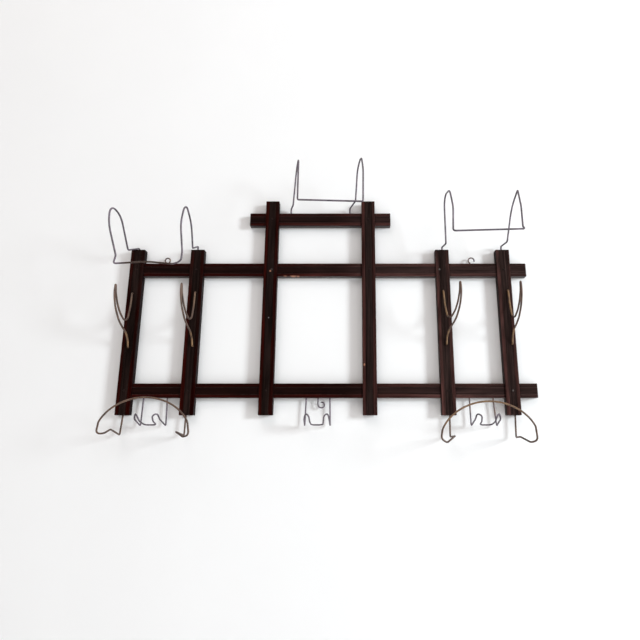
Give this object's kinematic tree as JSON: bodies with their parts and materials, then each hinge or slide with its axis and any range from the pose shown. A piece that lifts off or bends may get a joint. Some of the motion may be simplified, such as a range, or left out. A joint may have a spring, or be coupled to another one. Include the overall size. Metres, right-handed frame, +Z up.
{
  "type": "wall hat rack",
  "caption": "Open wooden lattice of moulded slats with bent-wire hat holders, coat hooks, brim holders and small hooks, hung flat on a wall.",
  "frame": {"origin": "back face of the middle rail, on the rail's centreline, halfway between the two centre stiles", "axes": "+X to the right along the rails, +Y into the wall, +Z up"},
  "size_m": [0.9278, 0.1546, 0.6335],
  "materials": {
    "wood": "dark red-brown stain under worn satin varnish",
    "wire": "dull tarnished steel wire",
    "nail": "dull steel nail"
  },
  "bodies": {
    "root": {"stile_outer_left": "wood", "stile_inner_left": "wood", "stile_centre_left": "wood", "stile_centre_right": "wood", "stile_inner_right": "wood", "stile_outer_right": "wood", "rail_top": "wood", "rail_middle": "wood", "rail_bottom": "wood", "nail_top_centre_left": "nail", "nail_top_centre_right": "nail", "nail_middle_outer_left": "nail", "nail_middle_inner_left": "nail", "nail_middle_centre_left": "nail", "nail_middle_centre_right": "nail", "nail_middle_inner_right": "nail", "nail_middle_outer_right": "nail", "nail_bottom_outer_left": "nail", "nail_bottom_inner_left": "nail", "nail_bottom_centre_left": "nail", "nail_bottom_centre_right": "nail", "nail_bottom_inner_right": "nail", "nail_bottom_outer_right": "nail", "hat_holder_left": "wire", "hat_holder_centre": "wire", "hat_holder_right": "wire", "coat_hook_outer_left": "wire", "coat_hook_inner_left": "wire", "coat_hook_inner_right": "wire", "coat_hook_outer_right": "wire", "brim_holder_left": "wire", "brim_holder_right": "wire", "cane_hook_left": "wire", "cane_hook_centre": "wire", "cane_hook_right": "wire", "hanging_eye_left": "wire", "hanging_crook_right": "wire", "scroll_hook": "wire"}
  },
  "joints": []
}
